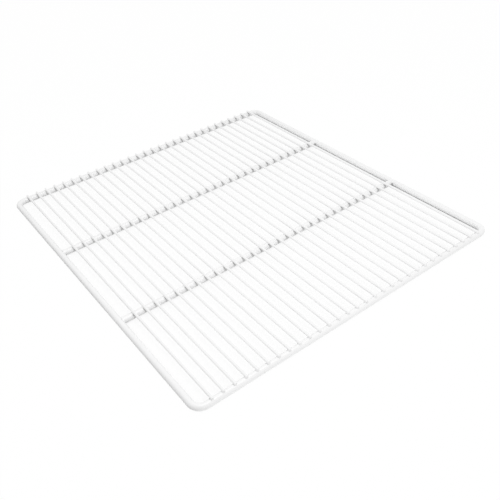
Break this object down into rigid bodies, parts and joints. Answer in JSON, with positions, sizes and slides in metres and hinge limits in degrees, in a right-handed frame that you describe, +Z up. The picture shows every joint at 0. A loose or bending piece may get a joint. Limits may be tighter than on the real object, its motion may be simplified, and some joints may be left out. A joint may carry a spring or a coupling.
{
  "type": "refrigerator wire shelf",
  "caption": "Flat white coated wire shelf for an upright refrigerator: thin deck wires welded across a rounded rectangular rod frame and its cross bars, laid on clips.",
  "frame": {"origin": "middle of the shelf, on the plane that the frame's underside lies on", "axes": "X along the front edge, +Y from the front edge to the back edge, along the deck wires, +Z up"},
  "size_m": [0.568, 0.62, 0.0141],
  "materials": {
    "white_coating": "smooth glossy white coating over steel wire"
  },
  "bodies": {
    "root": {"perimeter_frame": "white_coating", "front_cross_bar": "white_coating", "rear_cross_bar": "white_coating", "deck_wire_01": "white_coating", "deck_wire_02": "white_coating", "deck_wire_03": "white_coating", "deck_wire_04": "white_coating", "deck_wire_05": "white_coating", "deck_wire_06": "white_coating", "deck_wire_07": "white_coating", "deck_wire_08": "white_coating", "deck_wire_09": "white_coating", "deck_wire_10": "white_coating", "deck_wire_11": "white_coating", "deck_wire_12": "white_coating", "deck_wire_13": "white_coating", "deck_wire_14": "white_coating", "deck_wire_15": "white_coating", "deck_wire_16": "white_coating", "deck_wire_17": "white_coating", "deck_wire_18": "white_coating", "deck_wire_19": "white_coating", "deck_wire_20": "white_coating", "deck_wire_21": "white_coating", "deck_wire_22": "white_coating", "deck_wire_23": "white_coating", "deck_wire_24": "white_coating", "deck_wire_25": "white_coating", "deck_wire_26": "white_coating", "deck_wire_27": "white_coating", "deck_wire_28": "white_coating", "deck_wire_29": "white_coating", "deck_wire_30": "white_coating"}
  },
  "joints": []
}
